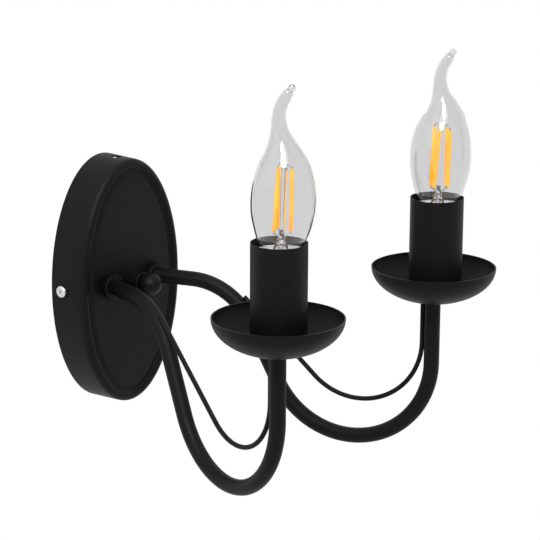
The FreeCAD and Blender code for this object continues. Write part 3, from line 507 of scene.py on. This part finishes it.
# Filaments: azimuth of foot and head, height of foot and head, and azimuth that the flat side faces
STRIPS = {
    "left": [(-37, -23, 40.2, 74.0, 238), (67, 72, 41.2, 75.0, 190), (161, 181, 40.6, 75.4, 200),
             (231, 237, 41.5, 74.6, 309)],
    "right": [(-24, 6, 40.6, 75.0, 222), (130, 108, 41.0, 75.6, 210), (178, 189, 40.6, 74.6, 222),
              (-52, -85, 40.8, 74.2, 216)],
}
STRIP_RING_R = 4.85
STRIP_WIDTH, STRIP_THICK = 2.3, 0.7
# Points round a strip, and the powers under 1 that square off its oval along its width and its thickness
STRIP_COUNT = 20
WIDTH_POWER, THICK_POWER = 0.7, 0.8
# Each rounded end: its length, and the angles of its rings in radians
STRIP_END = 1.1
STRIP_END_ANGLES = (0.3, 0.6, 0.9, 1.25, math.pi / 2)


def strip_ends(strip):
    """Middle of a strip's foot and of its head."""
    return [level_way(azimuth) * STRIP_RING_R + UP * height for azimuth, height in zip(strip[:2], strip[2:4])]


def squared_off(value, power):
    """A sine or cosine drawn out towards 1 or -1."""
    return math.copysign(abs(value) ** power, value)


def strips(side):
    """Coated strips: flat ovals with rounded ends."""
    mesh = bmesh.new()
    foot_end = [(STRIP_END * (1 - math.cos(a)), math.sin(a)) for a in STRIP_END_ANGLES]
    for strip in STRIPS[side]:
        low, high = strip_ends(strip)
        along = (high - low).normalized()
        facing = level_way(strip[-1])
        normal = (facing - along * facing.dot(along)).normalized()
        wide = along.cross(normal)
        length = (high - low).length
        head_end = [(length - place, scale) for place, scale in foot_end[::-1]]
        rings = []
        for place, scale in foot_end + [(length / 2, 1.0)] + head_end:
            ring = []
            for a in round_angles(STRIP_COUNT):
                x = squared_off(math.cos(a), WIDTH_POWER) * STRIP_WIDTH / 2 * scale
                y = squared_off(math.sin(a), THICK_POWER) * STRIP_THICK / 2 * scale
                ring.append(low + along * place + wide * x + normal * y)
            rings.append(ring)
        skin(mesh, [[low]] + rings + [[high]], leaned_matrix(side))
    add_piece(f"{side}_filament_strips", mesh, "filament_coating", f"{side}_bulb", f"{side}_filaments")


WIRE_R = 0.25
WIRE_STEPS, WIRE_COUNT = 5, 8
# Wires to the strips' feet, then to their heads: -1 for down or 1 for up, and where each leaves the stem,
# as a distance from the axis and a height
WIRE_ROOTS = [(-1, 1.6, 37.8), (1, 1.0, 76.0)]
# A wire's tip stands WIRE_TIP past the strip's end. It bends at a share of the tip's radius, a little past
# the tip's height, and arches slightly between its root and that bend
WIRE_TIP = 0.9
WIRE_BEND_SHARE, WIRE_BEND_PAST = 0.72, 0.5
WIRE_ARCH = 0.3
# Tab welded to a strip's end: place along the strip from that end, radius
TAB = [(-0.5, 0.3), (0.1, 0.5), (1.0, 0.4)]
TAB_COUNT = 10
# Leads inside the stem, under every second strip: distance from the axis, height
LEAD = [(2.6, 12.0), (2.4, 25.0), (1.1, 34.0), (1.4, 37.9)]


def wire(mesh, points, matrix):
    """One thin wire through points."""
    line = smooth_line(points, WIRE_STEPS)
    rope(mesh, line, [WIRE_R] * len(line), WIRE_COUNT, matrix)


def wires(side):
    """Welded tabs at the strips' ends, bent wires from the stem to them, and leads inside the stem."""
    mesh = bmesh.new()
    matrix = leaned_matrix(side)
    for strip in STRIPS[side]:
        low, high = strip_ends(strip)
        along = (high - low).normalized()
        for end, (way, root_r, root_z) in zip((low, high), WIRE_ROOTS):
            tip = end + along * (way * WIRE_TIP)
            root = outward(end) * root_r + UP * root_z
            bend = Vector((tip.x, tip.y, 0)) * WIRE_BEND_SHARE + UP * (tip.z + way * WIRE_BEND_PAST)
            arch = (root + bend) / 2 + UP * (way * WIRE_ARCH)
            wire(mesh, [root, arch, bend, tip], matrix)
            tab = [end + along * (way * place) for place, _ in TAB]
            rope(mesh, tab, [radius for _, radius in TAB], TAB_COUNT, matrix)
    for strip in STRIPS[side][::2]:
        out = outward(strip_ends(strip)[0])
        wire(mesh, [out * radius + UP * height for radius, height in LEAD], matrix)
    add_piece(f"{side}_lead_in_wires", mesh, "lead_in_wire", f"{side}_bulb", f"{side}_filament_wires")


# Cap's thread: pitch, radii, foot and top, the length over which it fades in and out, rings and points
CAP_PITCH = 2.82
CAP_ROOT_R, CAP_CREST_R = 6.45, 6.95
CAP_THREAD_LOW, CAP_THREAD_HIGH = 5.0, 20.8
CAP_FADE = 1.6
CAP_ROWS, CAP_COUNT = 96, 72
# Flare, skirt and plain inside, from the thread's top round to its foot: radius, height
CAP_PROFILE = [(6.7, 21.0), (7.3, 21.7), (8.0, 22.4), (8.4, 22.9), (8.4, 26.2), (8.32, CAP_LENGTH),
               (8.15, CAP_LENGTH), (8.1, 26.2), (8.1, 22.9), (7.0, 21.7), (6.2, 20.8), (6.2, 5.2)]


def thread_ring(height):
    """Points round the cap's rolled thread at a height."""
    fade = min(1.0, (height - CAP_THREAD_LOW) / CAP_FADE, (CAP_THREAD_HIGH - height) / CAP_FADE)
    ring = []
    for k, angle in enumerate(round_angles(CAP_COUNT)):
        wave = math.cos(2 * math.pi * (height / CAP_PITCH - k / CAP_COUNT))
        radius = CAP_ROOT_R + (CAP_CREST_R - CAP_ROOT_R) * (0.5 + 0.5 * wave) * fade
        ring.append(Vector((radius * math.cos(angle), radius * math.sin(angle), height)))
    return ring


def cap(side):
    """Drawn screw cap: rolled round thread, flare and skirt, open at both ends."""
    length = CAP_THREAD_HIGH - CAP_THREAD_LOW
    rings = [thread_ring(CAP_THREAD_LOW + length * k / CAP_ROWS) for k in range(CAP_ROWS + 1)]
    rings += [circle(radius, height, CAP_COUNT) for radius, height in CAP_PROFILE]
    mesh = bmesh.new()
    skin(mesh, rings, bulb_matrix(side), closed=True)
    add_piece(f"{side}_screw_cap", mesh, "cap_aluminium", f"{side}_bulb", f"{side}_bulb_cap")


for side in SIDES:
    envelope(side)
    stem(side)
    strips(side)
    wires(side)
    cap(side)


# ---------------------------------------------------------------- side screws

# Sizes here are in mm, and angles in radians. A screw's heights count from its seat on the canopy's side
SCREW_SEAT_X, SCREW_Y = 44.002, 9.0
SCREW_R, SCREW_LENGTH = 2.0, 8.0
SCREW_PITCH, SCREW_GROOVE = 0.7, 0.3
# Head from its top's edge down to the shank: radius, height
SCREW_HEAD_H = 2.2
SCREW_HEAD = [(3.15, 1.95), (3.45, 1.66), (3.62, 1.25), (3.7, 0.8), (3.7, 0.1), (3.6, 0.0), (SCREW_R, 0.0)]
# Top of the head: its edge, how far it falls off to there, and where its rings lie on the way
SCREW_TOP_R, SCREW_TOP_FALL = 2.75, 0.12
SCREW_TOP_SHARES = (0.1, 0.5, 1.0)
# Cross recess: length and half width of an arm, how far its edge and its floor lie under the head's
# height, the floor's share of its outline, and how the cross is turned
RECESS_ARM, RECESS_HALF = 1.85, 0.42
RECESS_EDGE, RECESS_DEPTH = 0.06, 1.55
RECESS_FLOOR_SHARE = 0.62
RECESS_TURN = {"left": 0.45, "right": -0.6}
# Points between a corner of the cross and the next diagonal, as angles from the middle of the arm
RECESS_BETWEEN = (0.34, 0.48, 0.62)


def recess_radius(angle):
    """Distance to the edge of a cross at an angle."""
    off = abs((angle + math.pi / 4) % (math.pi / 2) - math.pi / 4)
    if math.tan(off) * RECESS_ARM <= RECESS_HALF + 1e-9:
        return RECESS_ARM / math.cos(off)
    return RECESS_HALF / math.sin(off)


def screw_angles():
    """Angles of the points round a screw, with one at each corner of the cross."""
    corner = math.atan(RECESS_HALF / RECESS_ARM)
    half = [corner / 2, corner, *RECESS_BETWEEN]
    steps = [-math.pi / 4] + [-angle for angle in half[::-1]] + [0.0] + half
    return [arm * math.pi / 2 + step for arm in range(4) for step in steps]


def screw_rings():
    """Rings of a pan head with a cross recess, and of a shank with a groove for each turn of thread."""
    angles = screw_angles()
    cross = [recess_radius(angle) for angle in angles]

    def ring(radii, height):
        return [Vector((radius * math.cos(angle), radius * math.sin(angle), height))
                for radius, angle in zip(radii, angles)]

    def round_ring(radius, height):
        return ring([radius] * len(angles), height)

    bottom = SCREW_HEAD_H - RECESS_DEPTH
    rings = [[UP * bottom], ring([radius * RECESS_FLOOR_SHARE for radius in cross], bottom),
             ring(cross, SCREW_HEAD_H - RECESS_EDGE)]
    for share in SCREW_TOP_SHARES:
        radii = [radius + (SCREW_TOP_R - radius) * share for radius in cross]
        rings.append(ring(radii, SCREW_HEAD_H - SCREW_TOP_FALL * share))
    rings += [round_ring(radius, height) for radius, height in SCREW_HEAD]
    for turn in range(int(SCREW_LENGTH / SCREW_PITCH)):
        rings.append(round_ring(SCREW_R - SCREW_GROOVE, -SCREW_PITCH * (turn + 0.5)))
        rings.append(round_ring(SCREW_R, -SCREW_PITCH * (turn + 1.0)))
    return rings + [[UP * -SCREW_LENGTH]]


def screws():
    """The two screws in the canopy's sides."""
    mesh = bmesh.new()
    for side, sign in SIDES.items():
        place = Matrix.Translation((sign * SCREW_SEAT_X, -SCREW_Y, 0))
        axis = Vector((sign, 0, 0)).to_track_quat("Z", "Y").to_matrix().to_4x4()
        spin = Matrix.Rotation(RECESS_TURN[side], 4, "Z")
        skin(mesh, screw_rings(), Matrix.Scale(MM, 4) @ place @ axis @ spin)
    add_piece("cross_recess_screws", mesh, "zinc_plated_steel", "fixture", "side_screws")


screws()


# ---------------------------------------------------------------- stage, light and camera

# Floor: how far it lies below the sconce and half its width, in metres, and its finish
FLOOR_DROP, FLOOR_HALF = 0.45, 6.0
FLOOR_GREY, FLOOR_ROUGHNESS = 0.85, 0.9
# Strength of what is seen as white, and of the background as a light
WHITE, DIM = 1.0, 0.3
# Camera, fitted to the photograph: its place in metres, its turn in degrees, lens and sensor in mm
CAMERA_PLACE = Vector((-0.96241, -0.92818, 0.354))
CAMERA_AZIMUTH = -50.46
CAMERA_ELEVATION = 14.73
CAMERA_ROLL = 0.3
CAMERA_LENS, CAMERA_SENSOR = 149.31, 36.0
CAMERA_NEAR, CAMERA_FAR = 0.05, 50.0


def white_where_seen(tree, lit, white, output):
    """Puts out white to rays from the camera, in gloss and through glass, and lit to all others."""
    path = tree.nodes.new("ShaderNodeLightPath")
    glossy = tree.nodes.new("ShaderNodeMath")
    glossy.operation = "MAXIMUM"
    either = tree.nodes.new("ShaderNodeMath")
    either.operation = "MAXIMUM"
    mix = tree.nodes.new("ShaderNodeMixShader")
    tree.links.new(path.outputs["Is Camera Ray"], glossy.inputs[0])
    tree.links.new(path.outputs["Is Glossy Ray"], glossy.inputs[1])
    tree.links.new(glossy.outputs[0], either.inputs[0])
    tree.links.new(path.outputs["Is Transmission Ray"], either.inputs[1])
    tree.links.new(either.outputs[0], mix.inputs["Fac"])
    tree.links.new(lit.outputs[0], mix.inputs[1])
    tree.links.new(white.outputs[0], mix.inputs[2])
    tree.links.new(mix.outputs[0], output.inputs["Surface"])


def background(tree, strength):
    made = tree.nodes.new("ShaderNodeBackground")
    made.inputs["Color"].default_value = (1, 1, 1, 1)
    made.inputs["Strength"].default_value = strength
    return made


def world():
    """White background for what is seen directly, in gloss or through glass; a dim one as light."""
    sky = bpy.data.worlds.new("studio")
    sky.use_nodes = True
    tree = sky.node_tree
    tree.nodes.clear()
    output = tree.nodes.new("ShaderNodeOutputWorld")
    white_where_seen(tree, background(tree, DIM), background(tree, WHITE), output)
    bpy.context.scene.world = sky


def floor():
    """A pale floor well below the sconce, which lights it from below and is seen as plain white."""
    low = cad_box[0].z - FLOOR_DROP
    corners = [(-FLOOR_HALF, -FLOOR_HALF, low), (FLOOR_HALF, -FLOOR_HALF, low),
               (FLOOR_HALF, FLOOR_HALF, low), (-FLOOR_HALF, FLOOR_HALF, low)]
    mesh = bpy.data.meshes.new("floor")
    mesh.from_pydata(corners, [], [(0, 1, 2, 3)])
    plane = bpy.data.objects.new("floor", mesh)
    bpy.context.scene.collection.objects.link(plane)
    material = bpy.data.materials.new("floor_white")
    material.use_nodes = True
    tree = material.node_tree
    shader = tree.nodes["Principled BSDF"]
    shader.inputs["Base Color"].default_value = (FLOOR_GREY, FLOOR_GREY, FLOOR_GREY, 1)
    shader.inputs["Roughness"].default_value = FLOOR_ROUGHNESS
    glow = tree.nodes.new("ShaderNodeEmission")
    glow.inputs["Strength"].default_value = WHITE
    white_where_seen(tree, shader, glow, tree.nodes["Material Output"])
    plane.data.materials.append(material)


def softbox(name, place, target, size, watts, shape="RECTANGLE"):
    """A soft light that faces the target and doesn't show through glass; places and sizes in metres."""
    data = bpy.data.lights.new(name, "AREA")
    data.shape = shape
    data.size, data.size_y = size
    data.energy = watts
    light = bpy.data.objects.new(name, data)
    light.location = place
    light.rotation_mode = "QUATERNION"
    light.rotation_quaternion = (Vector(place) - Vector(target)).to_track_quat("Z", "Y")
    light.visible_transmission = False
    bpy.context.scene.collection.objects.link(light)


def camera():
    azimuth, elevation = math.radians(CAMERA_AZIMUTH), math.radians(CAMERA_ELEVATION)
    back = Vector((math.sin(azimuth) * math.cos(elevation), -math.cos(azimuth) * math.cos(elevation),
                   math.sin(elevation)))
    data = bpy.data.cameras.new("camera")
    data.lens = CAMERA_LENS
    data.sensor_width = CAMERA_SENSOR
    data.clip_start, data.clip_end = CAMERA_NEAR, CAMERA_FAR
    eye = bpy.data.objects.new("camera", data)
    eye.location = CAMERA_PLACE
    eye.rotation_mode = "QUATERNION"
    roll = Quaternion(UP, math.radians(CAMERA_ROLL))
    eye.rotation_quaternion = back.to_track_quat("Z", "Y") @ roll
    bpy.context.scene.collection.objects.link(eye)
    bpy.context.scene.camera = eye


world()
floor()
middle = (cad_box[0] + cad_box[1]) / 2
before_canopy = (-0.03, -0.05, 0.06)
between_bulbs = (-0.03, -0.18, 0.1)
softbox("key", (-1.5, 0.2, 1.1), middle, size=(1.7, 1.7), watts=5)
softbox("front", (-0.79, -0.79, 1.31), between_bulbs, size=(1.05, 0.7), watts=6, shape="ELLIPSE")
softbox("accent", (-0.98, -0.82, 1.12), before_canopy, size=(0.6, 0.4), watts=14, shape="ELLIPSE")
softbox("top", (0.1, -0.2, 1.7), middle, size=(1.2, 0.8), watts=2)
camera()

bpy.context.scene.view_settings.view_transform = "Standard"
